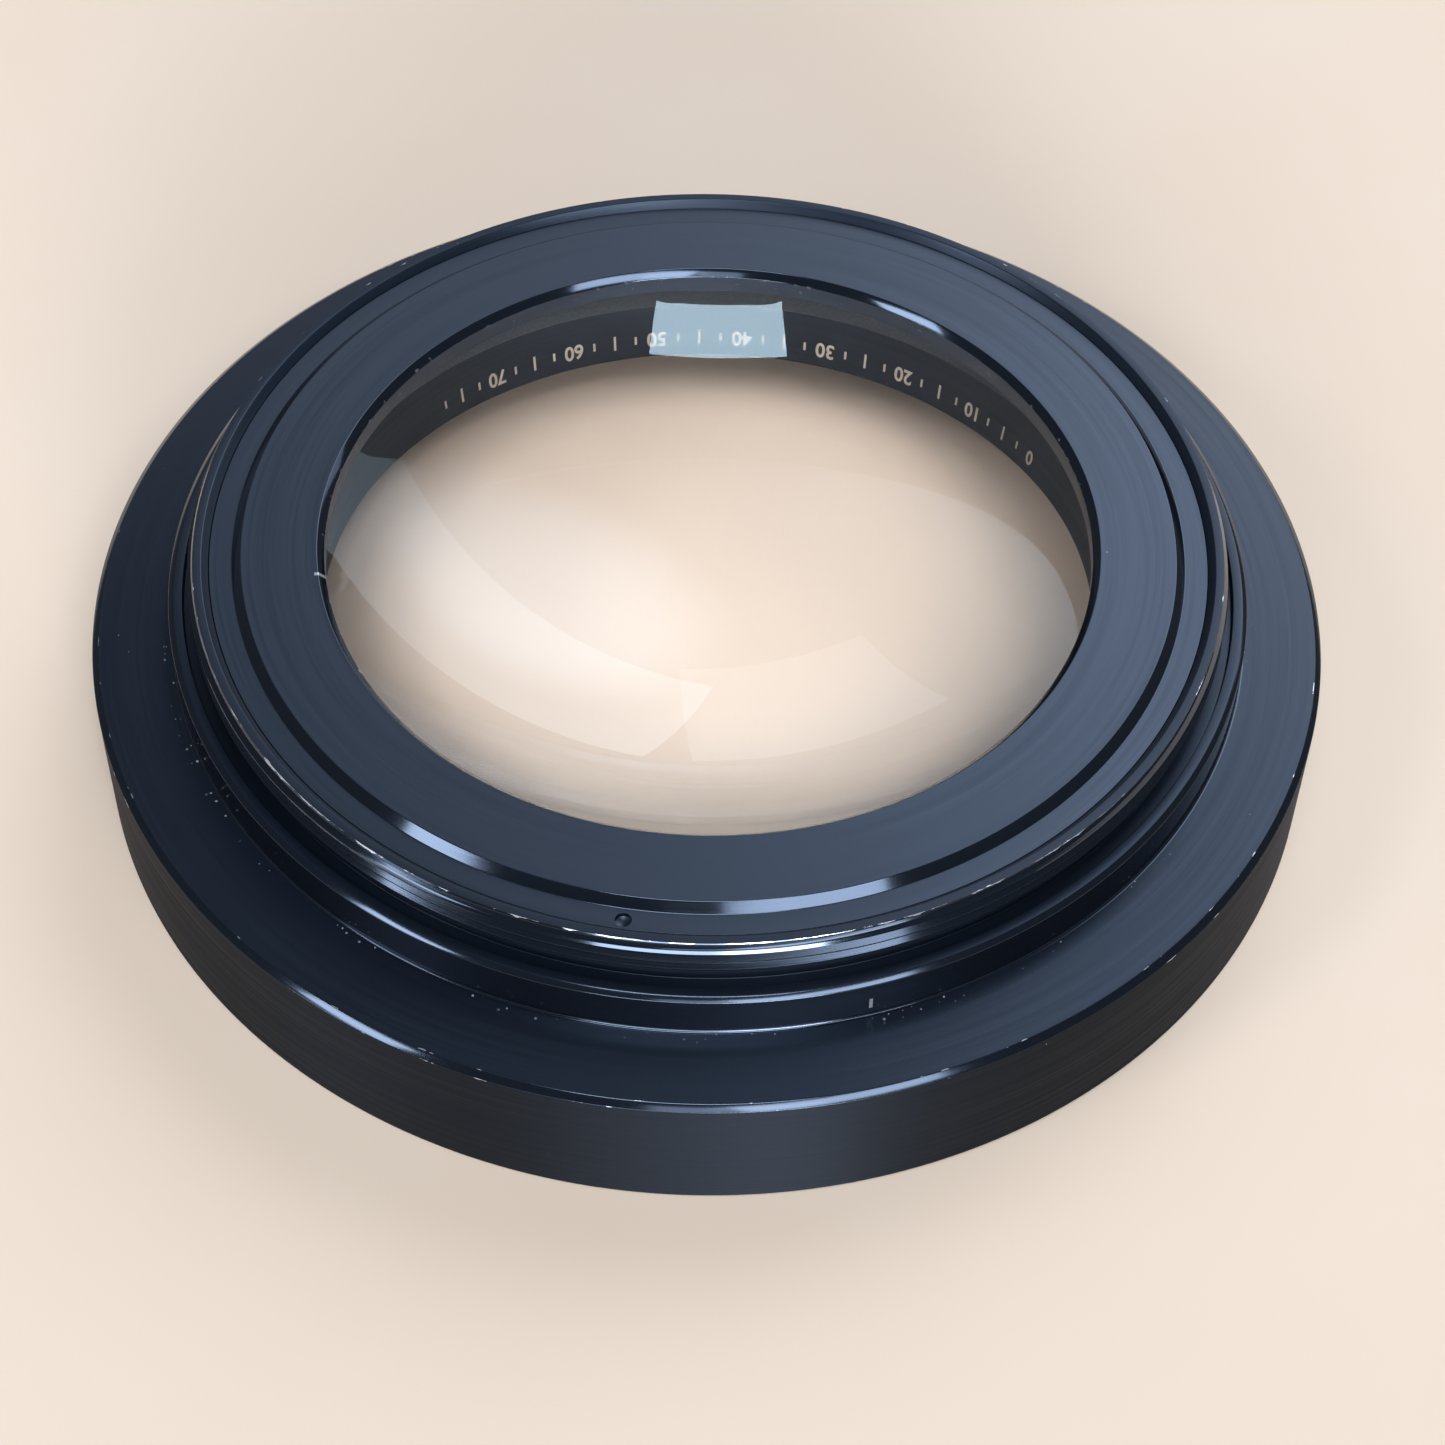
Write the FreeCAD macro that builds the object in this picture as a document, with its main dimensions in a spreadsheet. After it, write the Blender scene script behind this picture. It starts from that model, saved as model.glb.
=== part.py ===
import FreeCAD, Part
import math
import os
import re
import Sketcher

# Wide-angle conversion lens for a 67 mm filter thread.
# It stands on its front rim, so the optical axis is +Z and the rear screw thread points up.
# Three pieces: the turned barrel, the lens element and the ring that holds the lens from behind.

# The driving sizes, in millimetres and degrees. Radii run outwards and inwards from the screw
# thread, and heights run up from the front rim, so each size can be changed by itself.
SIZES = (
    ("hood_height", 9.15, "front rim to the top of the hood's plain wall"),
    ("hood_foot_chamfer", 0.25, "broken edge round the front rim"),
    ("hood_shoulder_width", 0.43, "bevel between the hood's wall and the flange, across"),
    ("hood_shoulder_height", 0.32, "the same bevel, up"),
    ("flange_width", 4.85, "flange from the bevel in to the boss"),
    ("flange_rise", 0.30, "height that the flange gains on its way in"),
    ("flange_corner_radius", 0.20, "tool radius where the flange meets the boss"),
    ("boss_rise", 3.08, "boss above the inner edge of the flange"),
    ("boss_edge_width", 0.35, "bevel round the top of the boss, across"),
    ("boss_edge_height", 0.25, "the same bevel, up"),
    ("lip_width", 0.60, "flat lip on top of the boss, which the mating rim seats on"),
    ("lip_gap", 0.55, "room between the lip and the thread's crests"),
    ("relief_depth", 0.65, "thread relief below the lip"),
    ("relief_above_lip", 0.40, "thread relief above the lip"),
    ("relief_inset", 0.60, "thread relief below the thread's crests"),
    ("thread_radius", 33.45, "crests of the 67 mm male thread"),
    ("thread_length", 3.00, "lip to the rear rim"),
    ("lead_in_width", 0.40, "bevel in front of the thread, across"),
    ("lead_in_height", 0.65, "the same bevel, along"),
    ("rear_wall", 1.37, "thread's crests in to the bore for the retaining ring"),
    ("rim_bevel_width", 0.42, "bevel inside the rear rim, across"),
    ("rim_bevel_height", 0.50, "the same bevel, down"),
    ("ring_proud", 0.02, "retaining ring's face above the rear rim"),
    ("ring_thread_clearance", 0.03, "retaining ring in its bore"),
    ("ring_shoulder_width", 1.45, "lower outer face of the ring, which the spanner hole is in"),
    ("ring_shoulder_drop", 0.52, "raised face down to the lower outer face"),
    ("ring_land_bevel", 0.60, "bevel between the two faces, across"),
    ("ring_bore_height", 1.67, "raised face down to the glass, at the bore"),
    ("ring_bore_chamfer", 0.45, "bevel at the bore's mouth"),
    ("ring_skirt", 1.75, "ring's foot below the glass's flat rim"),
    ("ring_foot_gap", 0.20, "free height under the ring's foot"),
    ("ring_cavity_gap", 0.10, "ring's skirt round the lens's bore"),
    ("spanner_hole_radius", 0.50, "hole for the assembly spanner"),
    ("spanner_hole_depth", 0.60, "depth of that hole"),
    ("spanner_hole_inset", 0.65, "that hole's centre in from the ring's thread"),
    ("spanner_hole_angle", 262.0, "that hole's place round the axis, in degrees from +X"),
    ("step_width", 1.43, "step in the barrel between the ring's bore and the lens's bore"),
    ("lens_clearance", 0.05, "lens in its bore"),
    ("glass_clearance", 0.02, "ring above the glass's flat rim"),
    ("lens_overlap", 5.90, "ring over the flat rim of the lens"),
    ("hollow_margin", 0.10, "edge of the glass's hollow face outside the ring's bore"),
    ("hollow_radius", 39.0, "curvature of the rear face, which is hollow"),
    ("lens_thickness", 2.20, "lens at its centre"),
    ("bulge_radius", 80.0, "curvature of the front face, which bulges out"),
    ("lens_flat_width", 1.70, "ground flat round the front face, which the lens sits on"),
    ("lens_bevel", 0.20, "broken edges of the glass"),
    ("seat_width", 1.65, "seat in the barrel under the lens"),
    ("band_height", 4.00, "straight inner band in front of the seat"),
    ("front_shoulder_width", 0.90, "flat floor behind the front thread"),
    ("front_thread_depth", 2.80, "front rim to that floor"),
    ("hood_wall", 2.13, "hood's wall at the front thread"),
    ("front_mouth_chamfer", 0.35, "bevel at the front mouth"),
)

# Radii and heights that follow from the driving sizes, each worked out from their names and
# from the lines above it.
PLACES = (
    ("boss_radius", "thread_radius + lip_gap + lip_width + boss_edge_width"),
    ("flange_outer", "boss_radius + flange_width"),
    ("hood_radius", "flange_outer + hood_shoulder_width"),
    ("flange_low", "hood_height + hood_shoulder_height"),
    ("flange_high", "flange_low + flange_rise"),
    ("lip_height", "flange_high + boss_rise"),
    ("rim_height", "lip_height + thread_length"),
    ("relief_radius", "thread_radius - relief_inset"),
    ("ring_thread_bore", "thread_radius - rear_wall"),
    ("ring_radius", "ring_thread_bore - ring_thread_clearance"),
    ("ring_top", "rim_height + ring_proud"),
    ("ring_shoulder_height", "ring_top - ring_shoulder_drop"),
    ("ring_land_foot", "ring_radius - ring_shoulder_width"),
    ("lens_bore", "ring_thread_bore - step_width"),
    ("lens_radius", "lens_bore - lens_clearance"),
    ("ring_bore", "lens_radius - lens_overlap"),
    ("ring_foot_face", "ring_top - ring_bore_height"),
    ("ring_cavity", "lens_bore + ring_cavity_gap"),
    ("ring_foot_height", "ring_foot_face - ring_skirt"),
    ("step_height", "ring_foot_height - ring_foot_gap"),
    # The ring lies on the flat rim of the glass. Both curved faces have their centres above it.
    ("glass_rim_height", "ring_foot_face - glass_clearance"),
    ("hollow_rim", "ring_bore + hollow_margin"),
    ("hollow_centre", "glass_rim_height + sqrt(hollow_radius ^ 2 - hollow_rim ^ 2)"),
    ("hollow_floor", "hollow_centre - hollow_radius"),
    ("bulge_low", "hollow_floor - lens_thickness"),
    ("bulge_centre", "bulge_low + bulge_radius"),
    ("bulge_rim", "lens_radius - lens_flat_width"),
    ("seat_height", "bulge_centre - sqrt(bulge_radius ^ 2 - bulge_rim ^ 2)"),
    ("band_radius", "lens_radius - seat_width"),
    ("band_foot_height", "seat_height - band_height"),
    ("front_bore", "hood_radius - hood_wall"),
    ("spanner_hole_place", "ring_radius - spanner_hole_inset"),
)


def fail(message):
    raise RuntimeError(message)


# One sheet holds the driving sizes as plain numbers, and a second one what follows from them.
doc = FreeCAD.newDocument("wide_angle_conversion_lens")
sizes = doc.addObject("Spreadsheet::Sheet", "Sizes")
for row, (alias, value, meaning) in enumerate(SIZES, start=1):
    sizes.set("A%d" % row, alias)
    sizes.set("B%d" % row, str(value))
    sizes.setAlias("B%d" % row, alias)
    sizes.set("C%d" % row, meaning)
doc.recompute()

WORDS = {alias: "Sizes." + alias for alias, value, meaning in SIZES}


def spelled(text):
    """The expression with each of its words named on the sheet that holds it."""
    return re.sub(r"[a-z_]+", lambda found: WORDS.get(found.group(), found.group()), text)


places = doc.addObject("Spreadsheet::Sheet", "Places")
for row, (alias, text) in enumerate(PLACES, start=1):
    places.set("A%d" % row, alias)
    places.set("B%d" % row, "=" + spelled(text))
    places.setAlias("B%d" % row, alias)
    WORDS[alias] = alias
doc.recompute()
WORDS.update((alias, "Places." + alias) for alias, text in PLACES)


def number(text):
    return float(sizes.evalExpression(spelled(text)))


def origin_plane(body, role):
    for feature in body.Origin.OriginFeatures:
        if feature.Role == role:
            return feature
    return fail("no plane " + role)


def place_point(sketch, item, end, radius, height):
    """Bind one point of a half section to its radius and its height."""
    for kind, text, axis in (("DistanceX", radius, -2), ("DistanceY", height, -1)):
        if text == "0":
            sketch.addConstraint(Sketcher.Constraint("PointOnObject", item, end, axis))
            continue
        index = sketch.addConstraint(Sketcher.Constraint(kind, -1, 1, item, end, number(text)))
        sketch.setExpression("Constraints[%d]" % index, spelled(text))


def half_section(body, name, corners):
    """A closed outline in the XZ plane. Each corner is (radius, height), and a third entry is
    the centre (radius, height) of the arc that leads to the next corner."""
    sketch = body.newObject("Sketcher::SketchObject", name)
    sketch.AttachmentSupport = (origin_plane(body, "XZ_Plane"), "")
    sketch.MapMode = "FlatFace"
    spots = [FreeCAD.Vector(number(corner[0]), number(corner[1]), 0) for corner in corners]
    first_ends = []
    for index, corner in enumerate(corners):
        start = spots[index]
        stop = spots[(index + 1) % len(corners)]
        if len(corner) == 2:
            sketch.addGeometry(Part.LineSegment(start, stop))
            first_ends.append((1, 2))
            continue
        centre = FreeCAD.Vector(number(corner[2][0]), number(corner[2][1]), 0)
        angles = [math.atan2((point - centre).y, (point - centre).x) for point in (start, stop)]
        forward = angles[0] < angles[1]
        circle = Part.Circle(centre, FreeCAD.Vector(0, 0, 1), (start - centre).Length)
        sketch.addGeometry(Part.ArcOfCircle(circle, min(angles), max(angles)))
        first_ends.append((1, 2) if forward else (2, 1))
    for index, corner in enumerate(corners):
        following = (index + 1) % len(corners)
        join = ("Coincident", index, first_ends[index][1], following, first_ends[following][0])
        sketch.addConstraint(Sketcher.Constraint(*join))
    for index, corner in enumerate(corners):
        place_point(sketch, index, first_ends[index][0], corner[0], corner[1])
        if len(corner) == 3:
            place_centre(sketch, index, corner[2][0])
    return sketch


def place_centre(sketch, item, radius):
    """An arc between two fixed points needs only its centre's radius."""
    centre_of = 3
    if radius == "0":
        sketch.addConstraint(Sketcher.Constraint("PointOnObject", item, centre_of, -2))
        return
    index = sketch.addConstraint(
        Sketcher.Constraint("DistanceX", -1, 1, item, centre_of, number(radius)))
    sketch.setExpression("Constraints[%d]" % index, spelled(radius))


def turned(body, kind, name, corners):
    """A full turn of a half section about the optical axis: a Revolution adds, a Groove cuts."""
    sketch = half_section(body, name + "_section", corners)
    feature = body.newObject("PartDesign::" + kind, name)
    feature.Profile = sketch
    feature.ReferenceAxis = (sketch, ["V_Axis"])
    feature.Angle = 360.0
    doc.recompute()
    return feature


def new_body(name):
    body = doc.addObject("PartDesign::Body", name)
    body.Label = name
    return body


def make_barrel():
    """The one turned piece: hood, flange, boss, rear screw thread and the seats inside it."""
    body = new_body("barrel")
    turned(body, "Revolution", "blank", (
        ("0", "0"),
        ("hood_radius - hood_foot_chamfer", "0"),
        ("hood_radius", "hood_foot_chamfer"),
        ("hood_radius", "hood_height"),
        ("flange_outer", "flange_low"),
        ("boss_radius + flange_corner_radius", "flange_high",
         ("boss_radius + flange_corner_radius", "flange_high + flange_corner_radius")),
        ("boss_radius", "flange_high + flange_corner_radius"),
        ("boss_radius", "lip_height - boss_edge_height"),
        ("boss_radius - boss_edge_width", "lip_height"),
        ("thread_radius", "lip_height"),
        ("thread_radius", "rim_height - lead_in_height"),
        ("thread_radius - lead_in_width", "rim_height"),
        ("0", "rim_height"),
    ))
    turned(body, "Groove", "thread_relief", (
        ("relief_radius", "lip_height - relief_depth"),
        ("thread_radius + lip_gap", "lip_height - relief_depth"),
        ("thread_radius + lip_gap", "lip_height + relief_above_lip"),
        ("relief_radius", "lip_height + relief_above_lip"),
    ))
    # Ring bore, step and lens bore, cut from behind.
    turned(body, "Groove", "rear_bore", (
        ("0", "seat_height"),
        ("lens_bore", "seat_height"),
        ("lens_bore", "step_height"),
        ("ring_thread_bore", "step_height"),
        ("ring_thread_bore", "rim_height - rim_bevel_height"),
        ("ring_thread_bore + rim_bevel_width", "rim_height"),
        ("0", "rim_height"),
    ))
    # Band, cone and the bore of the front thread, cut from the front.
    turned(body, "Groove", "front_recess", (
        ("0", "0"),
        ("front_bore + front_mouth_chamfer", "0"),
        ("front_bore", "front_mouth_chamfer"),
        ("front_bore", "front_thread_depth"),
        ("front_bore - front_shoulder_width", "front_thread_depth"),
        ("band_radius", "band_foot_height"),
        ("band_radius", "seat_height"),
        ("0", "seat_height"),
    ))
    return body


def make_lens():
    """The glass: a meniscus, hollow to the rear and bulging to the front, with a flat rim."""
    body = new_body("lens_element")
    turned(body, "Revolution", "glass", (
        ("0", "bulge_low"),
        ("0", "hollow_floor", ("0", "hollow_centre")),
        ("hollow_rim", "glass_rim_height"),
        ("lens_radius - lens_bevel", "glass_rim_height"),
        ("lens_radius", "glass_rim_height - lens_bevel"),
        ("lens_radius", "seat_height + lens_bevel"),
        ("lens_radius - lens_bevel", "seat_height"),
        ("bulge_rim", "seat_height", ("0", "bulge_centre")),
    ))
    return body


def make_retaining_ring():
    """The ring that screws in behind the lens, lies on its flat rim and reaches down round it."""
    body = new_body("retaining_ring")
    turned(body, "Revolution", "ring", (
        ("ring_bore", "ring_foot_face"),
        ("ring_cavity", "ring_foot_face"),
        ("ring_cavity", "ring_foot_height"),
        ("ring_radius", "ring_foot_height"),
        ("ring_radius", "ring_shoulder_height"),
        ("ring_land_foot", "ring_shoulder_height"),
        ("ring_land_foot - ring_land_bevel", "ring_top"),
        ("ring_bore + ring_bore_chamfer", "ring_top"),
        ("ring_bore", "ring_top - ring_bore_chamfer"),
    ))
    sketch = body.newObject("Sketcher::SketchObject", "spanner_hole_circle")
    sketch.AttachmentSupport = (origin_plane(body, "XY_Plane"), "")
    sketch.MapMode = "FlatFace"
    sketch.setExpression("AttachmentOffset.Base.z", spelled("ring_shoulder_height"))
    sketch.setExpression("AttachmentOffset.Rotation.Angle", spelled("spanner_hole_angle"))
    centre = FreeCAD.Vector(number("spanner_hole_place"), 0, 0)
    circle = Part.Circle(centre, FreeCAD.Vector(0, 0, 1), number("spanner_hole_radius"))
    sketch.addGeometry(circle)
    place_point(sketch, 0, 3, "spanner_hole_place", "0")
    size = sketch.addConstraint(
        Sketcher.Constraint("Radius", 0, number("spanner_hole_radius")))
    sketch.setExpression("Constraints[%d]" % size, spelled("spanner_hole_radius"))
    hole = body.newObject("PartDesign::Pocket", "spanner_hole")
    hole.Profile = sketch
    hole.setExpression("Length", spelled("spanner_hole_depth"))
    doc.recompute()
    return body


bodies = [make_barrel(), make_lens(), make_retaining_ring()]
doc.recompute()

for item in doc.Objects:
    if "Invalid" in item.State or "Error" in item.State:
        fail("%s did not recompute" % item.Label)
os.makedirs("parts", exist_ok=True)
for body in bodies:
    if body.Shape.isNull() or not body.Shape.isValid() or len(body.Shape.Solids) != 1:
        fail("%s is not one sound solid" % body.Label)
for body in bodies:
    body.Shape.exportStep("parts/%s.step" % body.Label)
    box = body.Shape.BoundBox
    print("%-15s %9.2f mm3, z %.3f to %.3f, radius %.3f"
          % (body.Label, body.Shape.Volume, box.ZMin, box.ZMax, box.XMax))
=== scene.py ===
import math

import bmesh
import bpy
from mathutils import Matrix, Vector


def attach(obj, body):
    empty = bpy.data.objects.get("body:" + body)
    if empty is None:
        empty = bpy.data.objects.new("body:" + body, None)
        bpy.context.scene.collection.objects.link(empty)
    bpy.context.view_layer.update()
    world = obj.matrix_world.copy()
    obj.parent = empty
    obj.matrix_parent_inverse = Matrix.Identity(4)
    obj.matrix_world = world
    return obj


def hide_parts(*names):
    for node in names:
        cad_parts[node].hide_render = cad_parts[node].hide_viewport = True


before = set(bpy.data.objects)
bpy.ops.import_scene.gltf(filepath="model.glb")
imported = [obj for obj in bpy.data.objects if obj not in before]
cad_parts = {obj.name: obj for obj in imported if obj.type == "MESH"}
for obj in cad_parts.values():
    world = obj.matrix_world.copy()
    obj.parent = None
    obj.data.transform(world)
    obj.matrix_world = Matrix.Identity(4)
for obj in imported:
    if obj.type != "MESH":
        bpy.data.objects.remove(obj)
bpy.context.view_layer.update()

MM = 0.001
bpy.context.scene.view_settings.view_transform = "Standard"

# Camera at the photograph's place: looking down at the lens from the near side. It holds the
# whole square frame, and its lens was worked out from the round edges.
camera_data = bpy.data.cameras.new("camera")
camera_data.sensor_width = 36.0
camera_data.lens = 77.88
camera = bpy.data.objects.new("camera", camera_data)
camera_place = Vector((1.13, -139.80, 161.10)) * MM
camera_tilt = Matrix.Rotation(math.radians(40.37), 4, "X")
camera_roll = Matrix.Rotation(math.radians(1.31), 4, "Z")
camera.matrix_world = Matrix.Translation(camera_place) @ camera_tilt @ camera_roll
bpy.context.scene.collection.objects.link(camera)
bpy.context.scene.camera = camera


# The barrel is one piece of aluminium, turned on a lathe and then black anodised: hood, flange,
# boss, rear thread and the seats inside. Its mesh is one closed skin, swept round the axis, and
# both screw threads are cut into that skin as real helices.
ROUND_STEPS = 360

hood_height = 9.15
hood_foot_chamfer = 0.25
hood_shoulder_width = 0.43
hood_shoulder_height = 0.32
flange_width = 4.85
flange_rise = 0.30
flange_corner_radius = 0.20
boss_rise = 3.08
boss_edge_width = 0.35
boss_edge_height = 0.25
lip_width = 0.60
lip_gap = 0.55
relief_depth = 0.65
relief_above_lip = 0.40
relief_inset = 0.60
thread_radius = 33.45
thread_depth = 0.40
thread_pitch = 0.75
thread_length = 3.00
lead_in_width = 0.40
lead_in_height = 0.65
rear_wall = 1.37
rim_bevel_width = 0.42
rim_bevel_height = 0.50
step_width = 1.43
step_height = 12.25
seat_height = 8.48
band_radius = 28.95
band_height = 4.00
front_shoulder_width = 0.90
front_thread_depth = 2.80
hood_wall = 2.13
front_mouth_chamfer = 0.35

boss_radius = thread_radius + lip_gap + lip_width + boss_edge_width
flange_outer = boss_radius + flange_width
hood_radius = flange_outer + hood_shoulder_width
flange_low = hood_height + hood_shoulder_height
flange_high = flange_low + flange_rise
lip_height = flange_high + boss_rise
rim_height = lip_height + thread_length
relief_radius = thread_radius - relief_inset
relief_top = lip_height + relief_above_lip
ring_thread_bore = thread_radius - rear_wall
lens_bore = ring_thread_bore - step_width
front_bore = hood_radius - hood_wall
rear_mouth = thread_radius - lead_in_width
front_mouth = front_bore + front_mouth_chamfer


def rounded(corners, breaks):
    """The open outline with each inner corner eased by a small arc, as a turning tool leaves it.
    Corners are (radius, height), and breaks gives each one's easing in millimetres."""
    steps = 3
    outline = [Vector(corners[0])]
    for before, corner, after, ease in zip(corners, corners[1:], corners[2:], breaks):
        corner = Vector(corner)
        back = Vector(before) - corner
        ahead = Vector(after) - corner
        reach = min(ease, 0.45 * back.length, 0.45 * ahead.length)
        first = corner + back.normalized() * reach
        last = corner + ahead.normalized() * reach
        for step in range(steps + 1):
            share = step / steps
            outline.append(first.lerp(corner, share).lerp(corner.lerp(last, share), share))
    outline.append(Vector(corners[-1]))
    return outline


def swept(name, outlines, closed):
    """A mesh of outlines in millimetres, each turned all the way round the axis."""
    points = []
    faces = []
    for outline in outlines:
        rows = []
        for radius, height in outline:
            if radius == 0:
                rows.append([len(points)] * ROUND_STEPS)
                points.append((0, 0, height * MM))
                continue
            rows.append(list(range(len(points), len(points) + ROUND_STEPS)))
            for step in range(ROUND_STEPS):
                turn = 2 * math.pi * step / ROUND_STEPS
                x, y = radius * math.cos(turn), radius * math.sin(turn)
                points.append((x * MM, y * MM, height * MM))
        pairs = list(zip(rows, rows[1:]))
        if closed:
            pairs.append((rows[-1], rows[0]))
        for low, high in pairs:
            for step in range(ROUND_STEPS):
                after = (step + 1) % ROUND_STEPS
                loop = [low[step], low[after], high[after], high[step]]
                faces.append(list(dict.fromkeys(loop)))
    mesh = bpy.data.meshes.new(name)
    mesh.from_pydata(points, [], faces)
    piece = bpy.data.objects.new(name, mesh)
    bpy.context.scene.collection.objects.link(piece)
    return piece


def node(tree, kind, inputs=None, out=0, **settings):
    """Add a node with its settings and links, and give back one of its outputs."""
    made = tree.nodes.new(kind)
    for name, value in settings.items():
        setattr(made, name, value)
    for key, value in (inputs or {}).items():
        if isinstance(value, bpy.types.NodeSocket):
            tree.links.new(value, made.inputs[key])
        else:
            made.inputs[key].default_value = value
    return made if out is None or not made.outputs else made.outputs[out]


def thread_nodes():
    """Geometry nodes that add a screw thread between two heights. A flat grid is sheared by one
    pitch and wrapped round the axis, so that its rows run along the helix. Side is 1 for a thread
    on a shaft and -1 for one in a bore, and the slopes are those of its two chamfers."""
    tree = bpy.data.node_groups.new("screw_thread", "GeometryNodeTree")
    sockets = tree.interface
    sockets.new_socket("Geometry", in_out="INPUT", socket_type="NodeSocketGeometry")
    sizes = ("Crest", "Root", "Pitch", "Low", "High", "Low Radius", "High Radius",
             "Low Slope", "High Slope", "Side")
    for size in sizes:
        sockets.new_socket(size, in_out="INPUT", socket_type="NodeSocketFloat")
    sockets.new_socket("Round Steps", in_out="INPUT", socket_type="NodeSocketInt")
    sockets.new_socket("Pitch Steps", in_out="INPUT", socket_type="NodeSocketInt")
    sockets.new_socket("Material", in_out="INPUT", socket_type="NodeSocketMaterial")
    sockets.new_socket("Geometry", in_out="OUTPUT", socket_type="NodeSocketGeometry")
    given = node(tree, "NodeGroupInput", out=None).outputs
    # Rows: one pitch more than the thread's length, so that the shear still covers it.
    length = node(tree, "ShaderNodeMath", {0: given["High"], 1: given["Low"]}, operation="SUBTRACT")
    pitches = node(tree, "ShaderNodeMath", {0: length, 1: given["Pitch"]}, operation="DIVIDE")
    rounds = node(tree, "ShaderNodeMath", {0: pitches}, operation="CEIL")
    spare = node(tree, "ShaderNodeMath", {0: rounds, 1: 1.0}, operation="ADD")
    rows = node(tree, "ShaderNodeMath", {0: spare, 1: given["Pitch Steps"]}, operation="MULTIPLY")
    row_points = node(tree, "ShaderNodeMath", {0: rows, 1: 1.0}, operation="ADD")
    round_points = node(tree, "ShaderNodeMath", {0: given["Round Steps"], 1: 1.0}, operation="ADD")
    grid = node(tree, "GeometryNodeMeshGrid", {
        "Size X": 1.0, "Size Y": 1.0, "Vertices X": round_points, "Vertices Y": row_points})
    place = node(tree, "GeometryNodeInputPosition")
    flat = node(tree, "ShaderNodeSeparateXYZ", {0: place}, out=None).outputs
    share = node(tree, "ShaderNodeMath", {0: flat["X"], 1: 0.5}, operation="ADD")
    across = node(tree, "ShaderNodeMath", {0: flat["Y"], 1: 0.5}, operation="ADD")
    turns = node(tree, "ShaderNodeMath", {0: across, 1: spare}, operation="MULTIPLY")
    # The helix's height above the low end, in pitches, and then clamped to the thread's ends.
    lifted = node(tree, "ShaderNodeMath", {0: turns, 1: share}, operation="ADD")
    lowered = node(tree, "ShaderNodeMath", {0: lifted, 1: 1.0}, operation="SUBTRACT")
    raw = node(tree, "ShaderNodeMath", {0: lowered, 1: given["Pitch"], 2: given["Low"]},
               operation="MULTIPLY_ADD")
    height = node(tree, "ShaderNodeClamp", {
        "Value": raw, "Min": given["Low"], "Max": given["High"]})
    # The 60 degree profile: from a narrow flat crest to a narrow flat root, and back.
    phase = node(tree, "ShaderNodeMath", {0: turns}, operation="FRACT")
    saw = node(tree, "ShaderNodeMath", {0: phase, 1: 2.0, 2: -1.0}, operation="MULTIPLY_ADD")
    ridge = node(tree, "ShaderNodeMath", {0: saw}, operation="ABSOLUTE")
    radius = node(tree, "ShaderNodeMapRange", {
        "Value": ridge, "From Min": 0.12, "From Max": 0.88,
        "To Min": given["Root"], "To Max": given["Crest"]})
    above = node(tree, "ShaderNodeMath", {0: height, 1: given["Low"]}, operation="SUBTRACT")
    below = node(tree, "ShaderNodeMath", {0: given["High"], 1: height}, operation="SUBTRACT")
    run_out = node(tree, "ShaderNodeMath", {0: above, 1: given["Low Slope"]}, operation="MULTIPLY")
    lead_in = node(tree, "ShaderNodeMath", {0: below, 1: given["High Slope"]}, operation="MULTIPLY")
    low_limit = node(tree, "ShaderNodeMath", {
        0: given["Side"], 1: given["Low Radius"], 2: run_out}, operation="MULTIPLY_ADD")
    high_limit = node(tree, "ShaderNodeMath", {
        0: given["Side"], 1: given["High Radius"], 2: lead_in}, operation="MULTIPLY_ADD")
    sided = node(tree, "ShaderNodeMath", {0: radius, 1: given["Side"]}, operation="MULTIPLY")
    under_low = node(tree, "ShaderNodeMath", {0: sided, 1: low_limit}, operation="MINIMUM")
    under_both = node(tree, "ShaderNodeMath", {0: under_low, 1: high_limit}, operation="MINIMUM")
    final = node(tree, "ShaderNodeMath", {0: under_both, 1: given["Side"]}, operation="MULTIPLY")
    turn = node(tree, "ShaderNodeMath", {0: share, 1: 2 * math.pi}, operation="MULTIPLY")
    cosine = node(tree, "ShaderNodeMath", {0: turn}, operation="COSINE")
    sine = node(tree, "ShaderNodeMath", {0: turn}, operation="SINE")
    x = node(tree, "ShaderNodeMath", {0: final, 1: cosine}, operation="MULTIPLY")
    y = node(tree, "ShaderNodeMath", {0: final, 1: sine}, operation="MULTIPLY")
    wrapped = node(tree, "ShaderNodeCombineXYZ", {0: x, 1: y, 2: height})
    helix = node(tree, "GeometryNodeSetPosition", {"Geometry": grid, "Position": wrapped})
    joined = node(tree, "GeometryNodeJoinGeometry", {"Geometry": helix}, out=None)
    tree.links.new(given["Geometry"], joined.inputs["Geometry"])
    merged = node(tree, "GeometryNodeMergeByDistance", {
        "Geometry": joined.outputs[0], "Distance": 0.0004 * MM})
    real = node(tree, "GeometryNodeRealizeInstances", {"Geometry": merged})
    painted = node(tree, "GeometryNodeSetMaterial", {
        "Geometry": real, "Material": given["Material"]})
    result = node(tree, "NodeGroupOutput", out=None)
    tree.links.new(painted, result.inputs[0])
    return tree


def give_inputs(modifier, values):
    """Set a modifier's named inputs by their identifiers."""
    for item in modifier.node_group.interface.items_tree:
        if item.in_out == "INPUT" and item.name in values:
            modifier[item.identifier] = values[item.name]


def finished(piece):
    """The piece with its modifiers worked out into one plain mesh."""
    bpy.context.view_layer.update()
    graph = bpy.context.evaluated_depsgraph_get()
    mesh = bpy.data.meshes.new_from_object(piece.evaluated_get(graph))
    piece.modifiers.clear()
    piece.data = mesh
    return piece


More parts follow.
